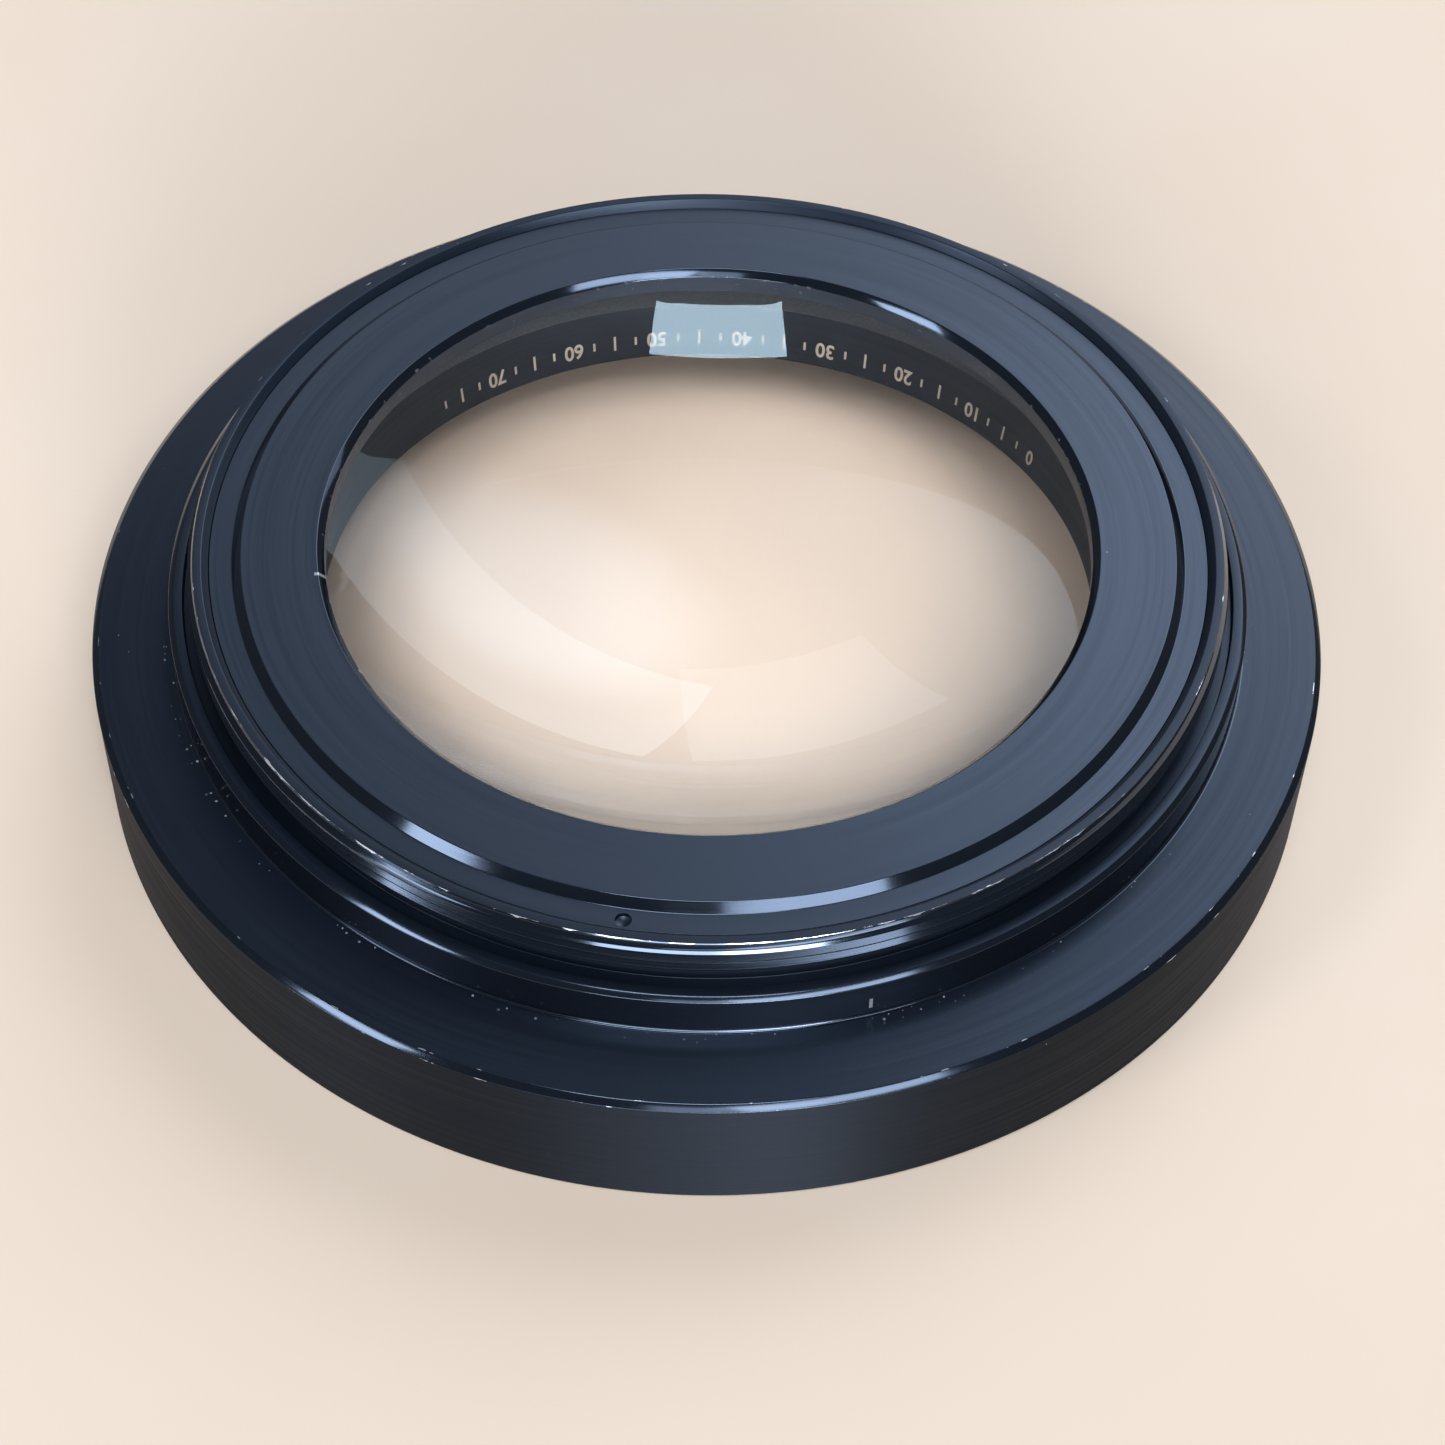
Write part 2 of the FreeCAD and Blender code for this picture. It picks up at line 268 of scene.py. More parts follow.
def outward(piece, sharp=35):
    """Faces pointing outwards, and shading that keeps flat faces flat beside rounded edges, with
    sharp edges past an angle in degrees. Only a face that a hole cuts has more than four corners,
    and it is shaded flat by itself."""
    made = bmesh.new()
    made.from_mesh(piece.data)
    bmesh.ops.recalc_face_normals(made, faces=made.faces)
    made.to_mesh(piece.data)
    made.free()
    if piece.data.has_custom_normals:
        piece.data.attributes.remove(piece.data.attributes["custom_normal"])
    piece.data.shade_smooth()
    for face in piece.data.polygons:
        face.use_smooth = len(face.vertices) <= 4
    piece.data.set_sharp_from_angle(angle=math.radians(sharp))
    flats = piece.modifiers.new("flat_faces", "WEIGHTED_NORMAL")
    flats.keep_sharp = True
    flats.weight = 90
    return finished(piece)


def finish_faces(piece, materials, pick):
    """Give each face one of the materials, picked by its radius and height in millimetres."""
    piece.data.materials.clear()
    for material in materials:
        piece.data.materials.append(material)
    for face in piece.data.polygons:
        centre = face.center / MM
        face.material_index = pick(math.hypot(centre.x, centre.y), centre.z)


def colour(text):
    """An sRGB hex value as linear red, green, blue and full alpha."""
    parts = [int(text[place:place + 2], 16) / 255 for place in (1, 3, 5)]
    linear = [part / 12.92 if part <= 0.04045 else ((part + 0.055) / 1.055) ** 2.4
              for part in parts]
    return linear + [1.0]


def new_material(name):
    """An empty node material and its tree."""
    material = bpy.data.materials.new(name)
    material.use_nodes = True
    material.node_tree.nodes.clear()
    return material, material.node_tree


def lathe_coordinates(tree):
    """Place, radius and height in millimetres, and the direction round the axis as a cosine
    and a sine."""
    place = node(tree, "ShaderNodeTexCoord", out="Object")
    scaled = node(tree, "ShaderNodeVectorMath", {0: place, "Scale": 1 / MM}, operation="SCALE")
    parts = node(tree, "ShaderNodeSeparateXYZ", {0: scaled}, out=None).outputs
    level = node(tree, "ShaderNodeCombineXYZ", {0: parts[0], 1: parts[1]})
    radius = node(tree, "ShaderNodeVectorMath", {0: level}, out="Value", operation="LENGTH")
    cosine = node(tree, "ShaderNodeMath", {0: parts[0], 1: radius}, operation="DIVIDE")
    sine = node(tree, "ShaderNodeMath", {0: parts[1], 1: radius}, operation="DIVIDE")
    return scaled, radius, parts[2], cosine, sine


def towards(tree, lathe, degrees, spread):
    """1 in one direction round the axis, falling to 0 at the spread to both sides."""
    cosine, sine = lathe[3:]
    turn = math.radians(degrees)
    east = node(tree, "ShaderNodeMath", {0: cosine, 1: math.cos(turn)}, operation="MULTIPLY")
    facing = node(tree, "ShaderNodeMath", {0: sine, 1: math.sin(turn), 2: east},
                  operation="MULTIPLY_ADD")
    return node(tree, "ShaderNodeMapRange", {
        "Value": facing, "From Min": math.cos(math.radians(spread)),
        "From Max": math.cos(math.radians(0.4 * spread))})


def turning_marks(tree, lathe, pitch):
    """Noise that runs round the axis in rings, one tool mark to each pitch in millimetres. The
    lathe's real feed of about 0.05 mm is too fine to show, so the pitches are coarser."""
    place, radius, height, cosine, sine = lathe
    across = node(tree, "ShaderNodeMath", {0: radius, 1: 1 / pitch}, operation="MULTIPLY")
    along = node(tree, "ShaderNodeMath", {0: height, 1: 1 / pitch}, operation="MULTIPLY")
    spot = node(tree, "ShaderNodeCombineXYZ", {0: across, 1: along, 2: cosine})
    return node(tree, "ShaderNodeTexNoise", {
        "Vector": spot, "W": sine, "Scale": 1.0, "Detail": 3.0, "Roughness": 0.7},
        noise_dimensions="4D")


def worn_edges(tree, lathe, corners, reach, grain, low=0.60):
    """Bare metal along the named edges, each a radius and a height, where noise is above its low
    limit. The reach is in millimetres, and grain is how many patches there are in one."""
    place, radius, height = lathe[:3]
    spot = node(tree, "ShaderNodeCombineXYZ", {0: radius, 1: height})
    nearest = None
    for corner_radius, corner_height in corners:
        gap = node(tree, "ShaderNodeVectorMath", {0: spot, 1: (corner_radius, corner_height, 0)},
                   out="Value", operation="DISTANCE")
        if nearest is None:
            nearest = gap
        else:
            nearest = node(tree, "ShaderNodeMath", {0: nearest, 1: gap}, operation="MINIMUM")
    ragged = node(tree, "ShaderNodeTexNoise", {"Vector": place, "Scale": grain, "Detail": 5.0})
    limit = node(tree, "ShaderNodeMapRange", {
        "Value": ragged, "From Min": low, "From Max": low + 0.18, "To Max": reach})
    left = node(tree, "ShaderNodeMath", {0: limit, 1: nearest}, operation="SUBTRACT")
    return node(tree, "ShaderNodeMapRange", {"Value": left, "From Max": 0.02})


def specks(tree, lathe, grain, size, low):
    """Small pale specks where a slow noise is above its low limit. The size is the widest one's
    radius in millimetres."""
    place = lathe[0]
    cells = node(tree, "ShaderNodeTexVoronoi", {"Vector": place, "Scale": grain}, out="Distance")
    lumps = node(tree, "ShaderNodeTexNoise", {"Vector": place, "Scale": 0.5 * grain, "Detail": 3.0})
    limit = node(tree, "ShaderNodeMapRange", {
        "Value": lumps, "From Min": low, "From Max": low + 0.2, "To Max": size * grain})
    return node(tree, "ShaderNodeMath", {0: cells, 1: limit}, operation="LESS_THAN")


def anodised(name, tones, shine, roughness, stretch, pitch, wear=None, dust=None):
    """Black anodised aluminium: a clear oxide skin, dyed nearly black, with a bluish shine. The
    rings that the tool left stretch each reflection across them. wear and dust take the tree and
    its lathe coordinates, and give the places that are rubbed bare and those with specks."""
    material, tree = new_material(name)
    lathe = lathe_coordinates(tree)
    rings = turning_marks(tree, lathe, pitch)
    cloud = node(tree, "ShaderNodeTexNoise", {"Vector": lathe[0], "Scale": 0.12, "Detail": 3.0})
    tint = node(tree, "ShaderNodeMix", {
        "Factor": cloud, "A": colour(tones[0]), "B": colour(tones[1])}, out=2, data_type="RGBA")
    dull = node(tree, "ShaderNodeMapRange", {
        "Value": rings, "From Min": 0.3, "From Max": 0.7,
        "To Min": 0.8 * roughness, "To Max": 1.25 * roughness})
    metal = 0.0
    level = rings
    if wear:
        bare = wear(tree, lathe)
        tint = node(tree, "ShaderNodeMix", {
            "Factor": bare, "A": tint, "B": colour("#c4cad1")}, out=2, data_type="RGBA")
        dull = node(tree, "ShaderNodeMix", {"Factor": bare, "A": dull, "B": 0.30})
        metal = node(tree, "ShaderNodeMath", {0: bare, 1: 0.9}, operation="MULTIPLY")
        level = node(tree, "ShaderNodeMath", {0: bare, 1: -0.6, 2: rings},
                     operation="MULTIPLY_ADD")
    if dust:
        speck = dust(tree, lathe)
        tint = node(tree, "ShaderNodeMix", {
            "Factor": speck, "A": tint, "B": colour("#838a92")}, out=2, data_type="RGBA")
        dull = node(tree, "ShaderNodeMix", {"Factor": speck, "A": dull, "B": 0.85})
    bump = node(tree, "ShaderNodeBump", {
        "Height": level, "Strength": 0.6 * roughness, "Distance": 0.010 * MM})
    shader = node(tree, "ShaderNodeBsdfPrincipled", {
        "Base Color": tint, "Roughness": dull, "Metallic": metal, "Normal": bump,
        "Anisotropic": stretch, "Anisotropic Rotation": 0.25, "IOR": 1.5,
        "Specular IOR Level": shine, "Specular Tint": colour("#c4dcff")})
    node(tree, "ShaderNodeOutputMaterial", {"Surface": shader})
    return material


def barrel_wear(tree, lathe):
    """The corners of the hood, boss and rear rim, rubbed through in a few places."""
    return worn_edges(tree, lathe, (
        (hood_radius, hood_height), (flange_outer, flange_low),
        (boss_radius, lip_height - boss_edge_height), (rear_mouth, rim_height)),
        reach=0.10, grain=0.9)


def barrel_dust(tree, lathe):
    """Specks all over, and more in the flange's corner, where a cloth doesn't reach."""
    place, radius, height = lathe[:3]
    spot = node(tree, "ShaderNodeCombineXYZ", {0: radius, 1: height})
    corner = (boss_radius + flange_corner_radius, flange_high, 0)
    gap = node(tree, "ShaderNodeVectorMath", {0: spot, 1: corner},
               out="Value", operation="DISTANCE")
    nook = node(tree, "ShaderNodeMapRange", {
        "Value": gap, "From Max": 0.7, "To Min": 1.0, "To Max": 0.0})
    thick = specks(tree, lathe, grain=2.4, size=0.10, low=0.45)
    thin = specks(tree, lathe, grain=1.2, size=0.07, low=0.60)
    near = node(tree, "ShaderNodeMath", {0: thick, 1: nook}, operation="MULTIPLY")
    return node(tree, "ShaderNodeMath", {0: near, 1: thin}, operation="MAXIMUM")


def bevel_wear_and_highlight(tree, lathe):
    """The rear rim's outer edge and the thread's first crest, rubbed bare where the lens was
    screwed on and off.
    The bare metal is kept to the near side, where the windows' highlights fall, so it is partly
    wear and partly a painted highlight. The boss wall has one short nick."""
    first_crest = (thread_radius, rim_height - lead_in_height - 0.08)
    crest = worn_edges(tree, lathe, (first_crest,), reach=0.08, grain=0.5, low=0.30)
    rim = worn_edges(tree, lathe, ((rear_mouth, rim_height),), reach=0.16, grain=0.7, low=0.48)
    # Bare metal only on the near side, where the windows' highlights fall: partly wear, partly a
    # painted highlight.
    near = towards(tree, lathe, degrees=262, spread=66)
    rubbed = node(tree, "ShaderNodeMath", {0: crest, 1: rim}, operation="MAXIMUM")
    turned = node(tree, "ShaderNodeMath", {0: rubbed, 1: near}, operation="MULTIPLY")
    narrow = towards(tree, lathe, degrees=287, spread=0.18)
    rise = node(tree, "ShaderNodeMath", {0: lathe[2], 1: flange_high + 1.1, 2: 0.45},
                operation="COMPARE")
    nick = node(tree, "ShaderNodeMath", {0: narrow, 1: rise}, operation="MULTIPLY")
    return node(tree, "ShaderNodeMath", {0: turned, 1: nick}, operation="MAXIMUM")


# The flange and the lip are satin. The rear rim was faced like the ring beside it, and shines
# more. The outer wall is dull, and its fine rings draw every reflection out along the axis. The
# bevels, the boss and the thread were cut with a sharp tool, and mirror the windows. The inside
# is matt, so that no stray light reaches the glass.
turned_black = anodised(
    "black_anodised_turned", ("#0b1018", "#0f1620"), shine=0.55, roughness=0.32,
    stretch=0.35, pitch=0.40, wear=barrel_wear, dust=barrel_dust)
rim_black = anodised(
    "black_anodised_rim", ("#0c1118", "#10161e"), shine=1.0, roughness=0.34,
    stretch=0.30, pitch=0.40, wear=barrel_wear)
wall_black = anodised(
    "black_anodised_wall", ("#050608", "#08090b"), shine=0.28, roughness=0.50,
    stretch=0.90, pitch=0.16, wear=barrel_wear, dust=barrel_dust)
bevelled_black = anodised(
    "black_anodised_bevelled", ("#04060a", "#070a0f"), shine=1.0, roughness=0.11,
    stretch=0.25, pitch=0.10, wear=bevel_wear_and_highlight)
inside_black = anodised(
    "black_anodised_matt", ("#0a0a0b", "#0e0e0f"), shine=0.50, roughness=0.55,
    stretch=0.0, pitch=0.30)

outer_corners = (
    (front_mouth, 0),
    (hood_radius - hood_foot_chamfer, 0),
    (hood_radius, hood_foot_chamfer),
    (hood_radius, hood_height),
    (flange_outer, flange_low),
    (boss_radius, flange_high),
    (boss_radius, lip_height - boss_edge_height),
    (boss_radius - boss_edge_width, lip_height),
    (thread_radius + lip_gap, lip_height),
    (thread_radius + lip_gap, lip_height - relief_depth),
    (relief_radius, lip_height - relief_depth),
    (relief_radius, relief_top),
)
outer_breaks = (0.05, 0.05, 0.04, 0.05, flange_corner_radius, 0.05, 0.06, 0.05, 0.08, 0.08)
inner_corners = (
    (rear_mouth, rim_height),
    (ring_thread_bore + rim_bevel_width, rim_height),
    (ring_thread_bore, rim_height - rim_bevel_height),
    (ring_thread_bore, step_height),
    (lens_bore, step_height),
    (lens_bore, seat_height),
    (band_radius, seat_height),
    (band_radius, seat_height - band_height),
    (front_bore - front_shoulder_width, front_thread_depth),
    (front_bore + thread_depth, front_thread_depth),
)
inner_breaks = (0.05, 0.05, 0.05, 0.05, 0.05, 0.05, 0.15, 0.20)
# Rows of faces in one pitch of a thread.
pitch_steps = 14
skins = [rounded(outer_corners, outer_breaks), rounded(inner_corners, inner_breaks)]
barrel = swept("barrel_turned", skins, closed=False)
rear_thread = barrel.modifiers.new("rear_thread", "NODES")
rear_thread.node_group = thread_nodes()
give_inputs(rear_thread, {
    "Crest": thread_radius * MM, "Root": (thread_radius - thread_depth) * MM,
    "Pitch": thread_pitch * MM, "Low": relief_top * MM, "High": rim_height * MM,
    "Low Radius": relief_radius * MM, "High Radius": rear_mouth * MM,
    "Low Slope": 2.0, "High Slope": lead_in_width / lead_in_height, "Side": 1.0,
    "Round Steps": ROUND_STEPS, "Pitch Steps": pitch_steps, "Material": turned_black})
front_thread = barrel.modifiers.new("front_thread", "NODES")
front_thread.node_group = rear_thread.node_group
give_inputs(front_thread, {
    "Crest": front_bore * MM, "Root": (front_bore + thread_depth) * MM,
    "Pitch": thread_pitch * MM, "Low": 0.0, "High": front_thread_depth * MM,
    "Low Radius": front_mouth * MM, "High Radius": (front_bore + thread_depth) * MM,
    "Low Slope": 1.0, "High Slope": 3.0, "Side": -1.0,
    "Round Steps": ROUND_STEPS, "Pitch Steps": pitch_steps, "Material": turned_black})
finished(barrel)


def barrel_finish(radius, height):
    """0 for the turned faces, 1 for the bright-cut bevels, boss wall and thread, 2 for the
    inside, 3 for the outer wall, 4 for the rear rim."""
    if radius > thread_radius + lip_gap:
        shoulder = height > hood_height and radius > flange_outer
        wall = radius < boss_radius + flange_corner_radius and height < lip_height - 0.01
        outer = radius > hood_radius - 0.01 and not shoulder
        return 1 if shoulder or wall else 3 if outer else 0
    if height > relief_top and radius > relief_radius:
        return 4 if height > rim_height - 0.005 else 1
    if height < seat_height and front_mouth > radius and height > 0:
        return 2
    return 0


finish_faces(
    barrel, (turned_black, bevelled_black, inside_black, wall_black, rim_black), barrel_finish)
outward(barrel)
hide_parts("barrel")
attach(barrel, "root")


# The lens is one meniscus of clear optical glass, hollow to the rear and bulging to the front,
# ground and polished, with a thin coating that tints its reflections. Its cylindrical edge and
# its flat rim are painted black, and the flat that it sits on is left as ground.
hollow_radius = 39.0
bulge_radius = 80.0
lens_thickness = 2.20
glass_rim_height = 14.18
hollow_rim = 24.80
lens_radius = lens_bore - 0.05
lens_flat_width = 1.70
lens_bevel = 0.20
lens_cap_steps = 40


def glass_material():
    """Optical glass. Lamps reach through it, so the floor inside the hood is lit."""
    material, tree = new_material("optical_glass_coated")
    shader = node(tree, "ShaderNodeBsdfPrincipled", {
        "Base Color": colour("#ffffff"), "Roughness": 0.0, "IOR": 1.52,
        "Transmission Weight": 1.0, "Specular Tint": colour("#d6f0ff")})
    clear = node(tree, "ShaderNodeBsdfTransparent", {"Color": colour("#f4f1ee")})
    path = node(tree, "ShaderNodeLightPath", out="Is Shadow Ray")
    mixed = node(tree, "ShaderNodeMixShader", {0: path, 1: shader, 2: clear})
    node(tree, "ShaderNodeOutputMaterial", {"Surface": mixed})
    return material


def edge_paint_material():
    """Matt black edge lacquer, which kills stray light in the glass. The brush left it uneven
    from one millimetre to the next."""
    material, tree = new_material("black_edge_lacquer")
    place = node(tree, "ShaderNodeTexCoord", out="Object")
    brushed = node(tree, "ShaderNodeTexNoise", {"Vector": place, "Scale": 0.9 / MM, "Detail": 2.0})
    tint = node(tree, "ShaderNodeMix", {
        "Factor": brushed, "A": colour("#0b0c0e"), "B": colour("#17191d")}, out=2, data_type="RGBA")
    shader = node(tree, "ShaderNodeBsdfPrincipled", {"Base Color": tint, "Roughness": 0.6})
    node(tree, "ShaderNodeOutputMaterial", {"Surface": shader})
    return material


def ground_glass_material():
    """The grey, frosted skin that a grinding wheel leaves on glass, in grains of a quarter of a
    millimetre. Real ones are too fine to show."""
    material, tree = new_material("ground_glass")
    place = node(tree, "ShaderNodeTexCoord", out="Object")
    grains = node(tree, "ShaderNodeTexNoise", {"Vector": place, "Scale": 4.0 / MM, "Detail": 2.0})
    tint = node(tree, "ShaderNodeMix", {
        "Factor": grains, "A": colour("#4a4c50"), "B": colour("#6e7176")}, out=2, data_type="RGBA")
    shader = node(tree, "ShaderNodeBsdfPrincipled", {"Base Color": tint, "Roughness": 0.5})
    node(tree, "ShaderNodeOutputMaterial", {"Surface": shader})
    return material


def cap_outline(curve, centre, rim, steps):
    """Points of a spherical face from the axis out to its rim, its centre above it."""
    points = [(0, centre - curve)]
    for step in range(1, steps + 1):
        radius = rim * step / steps
        points.append((radius, centre - math.sqrt(curve ** 2 - radius ** 2)))
    return points


hollow_centre = glass_rim_height + math.sqrt(hollow_radius ** 2 - hollow_rim ** 2)
bulge_centre = hollow_centre - hollow_radius - lens_thickness + bulge_radius
hollow_cap = cap_outline(hollow_radius, hollow_centre, hollow_rim, lens_cap_steps)
bulge_cap = cap_outline(
    bulge_radius, bulge_centre, lens_radius - lens_flat_width, lens_cap_steps)
lens_foot = bulge_cap[-1][1]
lens_edge = [
    (lens_radius - lens_bevel, glass_rim_height),
    (lens_radius, glass_rim_height - lens_bevel),
    (lens_radius, lens_foot + lens_bevel),
    (lens_radius - lens_bevel, lens_foot),
]
lens_outline = [Vector(point) for point in hollow_cap + lens_edge + bulge_cap[::-1]]
lens = swept("lens_element_glass", [lens_outline], closed=False)


def lens_finish(radius, height):
    """0 for the polished faces, 1 for the painted edge and rim, 2 for the ground flat below."""
    if radius > lens_radius - lens_flat_width and height < lens_foot + lens_bevel:
        return 2
    if radius > hollow_rim and height > glass_rim_height - 0.5 or radius > lens_radius - 0.05:
        return 1
    return 0


finish_faces(lens, (glass_material(), edge_paint_material(), ground_glass_material()), lens_finish)
outward(lens, 20)
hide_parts("lens_element")
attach(lens, "root")


# The retaining ring is turned from the same aluminium and screws in behind the glass. Its broad
# face is faced on the lathe, its bevels are cut with a sharp tool, and one small hole takes the
# spanner that tightens it.
ring_top = rim_height + 0.02
ring_radius = ring_thread_bore - 0.03
ring_shoulder_width = 1.45
ring_shoulder_drop = 0.52
ring_land_bevel = 0.60
ring_bore = 24.70
ring_bore_chamfer = 0.45
ring_foot_face = 14.20
ring_cavity = lens_bore + 0.10
ring_foot_height = 12.45
spanner_hole_radius = 0.50
spanner_hole_depth = 0.60
spanner_hole_point = 0.30
spanner_hole_inset = 0.65
spanner_hole_angle = 262.0
ring_land_foot = ring_radius - ring_shoulder_width


def ring_wear(tree, lathe):
    """White nicks round the bore's mouth, most of them on the left, and one short cut across it."""
    nicks = worn_edges(tree, lathe, (
        (ring_bore, ring_top - ring_bore_chamfer), (ring_bore, ring_foot_face + 0.6)),
        reach=0.34, grain=1.9)
    left = towards(tree, lathe, degrees=203, spread=26)
    some = node(tree, "ShaderNodeMath", {0: left, 1: 0.9, 2: 0.1}, operation="MULTIPLY_ADD")
    rubbed = node(tree, "ShaderNodeMath", {0: nicks, 1: some}, operation="MULTIPLY")
    narrow = towards(tree, lathe, degrees=190.8, spread=0.35)
    mouth = node(tree, "ShaderNodeMath", {0: lathe[1], 1: ring_bore + 0.7}, operation="LESS_THAN")
    cut = node(tree, "ShaderNodeMath", {0: narrow, 1: mouth}, operation="MULTIPLY")
    return node(tree, "ShaderNodeMath", {0: rubbed, 1: cut}, operation="MAXIMUM")


def ring_dust(tree, lathe):
    """A few small pale specks."""
    return specks(tree, lathe, grain=0.9, size=0.07, low=0.58)


# The faced side gives back an even blue-grey sheen, and the bright-cut bevels show the windows
# as short clear highlights.
faced_black = anodised(
    "black_anodised_faced", ("#0c1118", "#10161e"), shine=1.0, roughness=0.34,
    stretch=0.30, pitch=0.40, wear=ring_wear, dust=ring_dust)
bright_black = anodised(
    "black_anodised_bright_cut", ("#04060a", "#070a0f"), shine=1.0, roughness=0.09,
    stretch=0.20, pitch=0.10, wear=ring_wear)
ring_corners = (
    (ring_bore, ring_foot_face),
    (ring_cavity, ring_foot_face),
    (ring_cavity, ring_foot_height),
    (ring_radius, ring_foot_height),
    (ring_radius, ring_top - ring_shoulder_drop),
    (ring_land_foot, ring_top - ring_shoulder_drop),
    (ring_land_foot - ring_land_bevel, ring_top),
    (ring_bore + ring_bore_chamfer, ring_top),
    (ring_bore, ring_top - ring_bore_chamfer),
    (ring_bore, ring_foot_face + 0.1),
)
ring_breaks = (0.03, 0.05, 0.05, 0.04, 0.05, 0.04, 0.04, 0.04)
ring = swept("retaining_ring_faced", [rounded(ring_corners, ring_breaks)], closed=True)
ring.data.materials.append(faced_black)
outward(ring)
turn = math.radians(spanner_hole_angle)
reach = ring_radius - spanner_hole_inset
hole_floor = ring_top - ring_shoulder_drop - spanner_hole_depth
drill_outline = [Vector(point) for point in (
    (0, hole_floor), (spanner_hole_radius, hole_floor + spanner_hole_point),
    (spanner_hole_radius, ring_top + 1), (0, ring_top + 1))]
drill = swept("spanner_drill", [drill_outline], closed=False)
hole_place = Vector((reach * math.cos(turn), reach * math.sin(turn), 0))
drill.data.transform(Matrix.Translation(hole_place * MM))
drill.data.materials.append(faced_black)
outward(drill)
drilled = ring.modifiers.new("spanner_hole", "BOOLEAN")
drilled.object = drill
drilled.operation = "DIFFERENCE"
drilled.solver = "EXACT"
finished(ring)
bpy.data.objects.remove(drill)
outward(ring)


def ring_finish(radius, height):
    """0 for the faced and turned faces, 1 for the bright-cut bevels."""
    bevel = ring_land_foot - ring_land_bevel < radius < ring_land_foot
    mouth = radius < ring_bore + ring_bore_chamfer
    high = ring_top - ring_shoulder_drop + 0.005 < height < ring_top - 0.005
    return 1 if high and (bevel or mouth) else 0


finish_faces(ring, (faced_black, bright_black), ring_finish)
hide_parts("retaining_ring")
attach(ring, "root")


# Plain scale marks, printed in white ink on the dark band in front of the glass. They are
# seen upside down through the glass from behind, and read from the front.
mark_depth = 0.02
mark_drop = 2.55
number_step = 13
number_places = range(34, 138, number_step)
number_height = 1.55
tick_half_width = 0.09
tick_half_short = 0.30
tick_half_long = 0.55


def paint_material():
    """White printing ink, thin and a little uneven."""
    material, tree = new_material("white_printing_ink")
    place = node(tree, "ShaderNodeTexCoord", out="Object")
    uneven = node(tree, "ShaderNodeTexNoise", {"Vector": place, "Scale": 2.5 / MM, "Detail": 2.0})
    tint = node(tree, "ShaderNodeMix", {
        "Factor": uneven, "A": colour("#857f75"), "B": colour("#a59e92")}, out=2, data_type="RGBA")
    shader = node(tree, "ShaderNodeBsdfPrincipled", {"Base Color": tint, "Roughness": 0.55})
    node(tree, "ShaderNodeOutputMaterial", {"Surface": shader})
    return material


def band_place(degrees):
    """A frame on the band: X runs round it, Y towards the front rim, and Z out of its wall."""
    turn = math.radians(degrees)
    outward_from_axis = Vector((math.cos(turn), math.sin(turn), 0))
    centre = outward_from_axis * (band_radius - 0.6 * mark_depth)
    centre.z = seat_height - mark_drop
    front = Vector((0, 0, -1))
    inward = -outward_from_axis
    side = front.cross(inward)
    return Matrix.Translation(centre * MM) @ Matrix((side, front, inward)).transposed().to_4x4()


marks = []
for index, degrees in enumerate(number_places):
    words = bpy.data.curves.new("band_number", "FONT")
    words.body = str(10 * index)
    words.size = number_height * MM
    words.align_x = "CENTER"
    words.align_y = "CENTER"
    words.extrude = mark_depth * MM / 2
    words.offset = 0.03 * MM
    holder = bpy.data.objects.new("band_number", words)
    bpy.context.scene.collection.objects.link(holder)
    bpy.context.view_layer.update()
    graph = bpy.context.evaluated_depsgraph_get()
    mesh = bpy.data.meshes.new_from_object(holder.evaluated_get(graph))
    mesh.transform(band_place(degrees))
    bpy.data.objects.remove(holder)
    marks.append(mesh)
tick_sides = ((0, 1, 3, 2), (4, 6, 7, 5), (0, 4, 5, 1), (2, 3, 7, 6), (0, 2, 6, 4), (1, 5, 7, 3))
for degrees in number_places:
    for quarter in (1, 2, 3):
        tall = tick_half_long if quarter == 2 else tick_half_short
        half = (tick_half_width * MM, tall * MM, mark_depth / 2 * MM)
        corners = [(x * half[0], y * half[1], z * half[2])
                   for x in (-1, 1) for y in (-1, 1) for z in (-1, 1)]
        mesh = bpy.data.meshes.new("band_tick")
        mesh.from_pydata(corners, [], tick_sides)
        mesh.transform(band_place(degrees + quarter * number_step / 4))
        marks.append(mesh)
printed = bmesh.new()
for mesh in marks:
    printed.from_mesh(mesh)
band_mesh = bpy.data.meshes.new("band_marks")
printed.to_mesh(band_mesh)
printed.free()
band_mesh.materials.clear()
band_mesh.materials.append(paint_material())
for face in band_mesh.polygons:
    face.material_index = 0
band_marks = bpy.data.objects.new("band_marks", band_mesh)
bpy.context.scene.collection.objects.link(band_marks)
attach(band_marks, "root")


# The stage: a plain pale floor, a pale surround and soft lamps. The lamps stand where the
# photograph's windows were, because the bevels and the glass show them.
def floor_material():
    """A smooth pale board, warm in tone."""
    material, tree = new_material("pale_board")
    place = node(tree, "ShaderNodeTexCoord", out="Object")
    soft = node(tree, "ShaderNodeTexNoise", {"Vector": place, "Scale": 0.03 / MM, "Detail": 3.0})
    tint = node(tree, "ShaderNodeMix", {
        "Factor": soft, "A": colour("#e0cdba"), "B": colour("#e6d5c4")}, out=2, data_type="RGBA")
    shader = node(tree, "ShaderNodeBsdfPrincipled", {
        "Base Color": tint, "Roughness": 0.7, "Specular IOR Level": 0.2})
    node(tree, "ShaderNodeOutputMaterial", {"Surface": shader})
    return material


floor_half = 2.0
floor_level = -0.02 * MM
floor_mesh = bpy.data.meshes.new("floor")
floor_corners = [(x * floor_half, y * floor_half, floor_level)
                 for x, y in ((-1, -1), (1, -1), (1, 1), (-1, 1))]
floor_mesh.from_pydata(floor_corners, [], [(0, 1, 2, 3)])
floor_mesh.materials.append(floor_material())
floor = bpy.data.objects.new("floor", floor_mesh)
bpy.context.scene.collection.objects.link(floor)

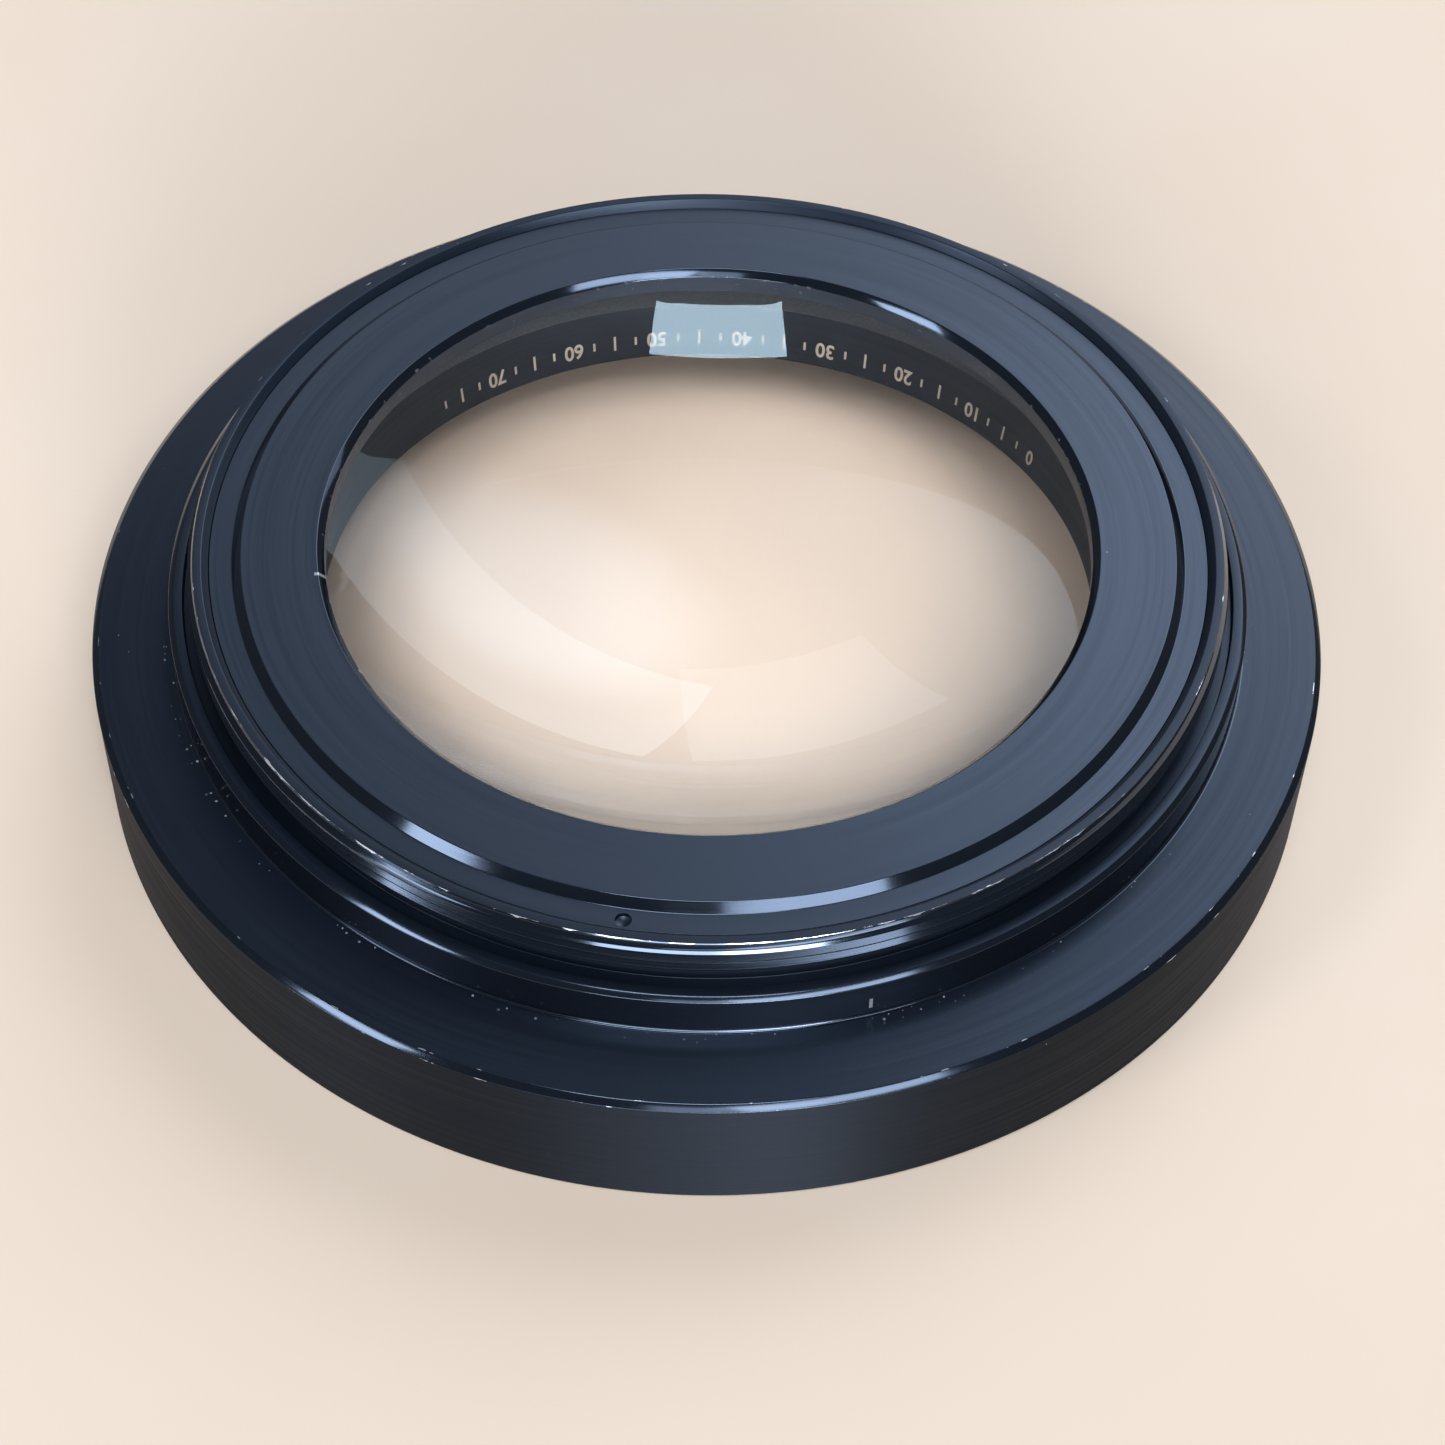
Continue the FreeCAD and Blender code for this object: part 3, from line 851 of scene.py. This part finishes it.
# The surround is an even grey, and one broad soft patch of it is bright, far to the right.
world = bpy.data.worlds.new("pale_surround")
world.use_nodes = True
world.node_tree.nodes.clear()
outlook = node(world.node_tree, "ShaderNodeTexCoord", out="Generated")
bright_side = (0.36, 0.59, 0.72)
facing = node(world.node_tree, "ShaderNodeVectorMath", {0: outlook, 1: bright_side},
              out="Value", operation="DOT_PRODUCT")
lit = node(world.node_tree, "ShaderNodeMapRange", {
    "Value": facing, "From Min": 0.89, "From Max": 0.99, "To Min": 0.78, "To Max": 16.0},
    interpolation_type="SMOOTHSTEP")
sky = node(world.node_tree, "ShaderNodeBackground", {"Color": colour("#6e7278"), "Strength": lit})
node(world.node_tree, "ShaderNodeOutputWorld", {"Surface": sky})
bpy.context.scene.world = world


def lamp_panel(name, place, size, facing, glow, tint):
    """A soft rectangular lamp, in metres, that no camera sees. glow is how bright it looks beside
    a white that is fully lit."""
    lamp = bpy.data.lights.new(name, "AREA")
    lamp.shape = "RECTANGLE"
    lamp.size, lamp.size_y = size
    lamp.energy = glow * math.pi * lamp.size * lamp.size_y
    lamp.color = colour(tint)[:3]
    holder = bpy.data.objects.new(name, lamp)
    holder.location = place
    holder.rotation_euler = facing.to_track_quat("-Z", "Y").to_euler()
    holder.visible_camera = False
    bpy.context.scene.collection.objects.link(holder)


def window(name, left, right, low, high, glow, tint):
    """A lamp that fills the view from the lens between two azimuths and two elevations. It stands
    far off, so that the floor is lit evenly."""
    distance = 9.0
    turn = math.radians((left + right) / 2)
    lift = math.radians((low + high) / 2)
    level = math.cos(lift)
    away = Vector((math.cos(turn) * level, math.sin(turn) * level, math.sin(lift)))
    width = 2 * distance * level * math.tan(math.radians(right - left) / 2)
    height = 2 * distance * math.tan(math.radians(high - low) / 2)
    lamp_panel(name, away * distance, (width, height), -away, glow, tint)


# The panel overhead makes the clear patch in the far part of the glass. The near windows show
# in the thread's lead-in, the ring's bevel and the hood's shoulder, and the others in the haze
# over the glass.
lamp_panel(
    "overhead_panel", Vector((-0.07, -1.67, 4.0)), (1.84, 0.83), Vector((0, 0, -1)),
    12.5, "#f4faff")
window("near_low_window", 274, 292, 2, 18, 34.0, "#fafcff")
window("near_window", 274, 291, 20, 50, 1.8, "#fafcff")
window("near_high_window", 277, 314, 42, 53, 8.0, "#f4f8ff")
window("near_dim_window", 251, 274, 2, 18, 14.0, "#f4f8ff")
window("near_dim_high_window", 262, 274, 36, 50, 2.8, "#f4f8ff")
window("near_left_window", 205, 221, 1, 30, 2.6, "#f4f8ff")
window("near_left_strip", 201, 220, 34, 44, 10.0, "#f4f8ff")
window("right_window", 28, 88, 15, 41, 1.25, "#eef4ff")
window("far_window", 88, 114, 14, 41, 0.7, "#eef4ff")
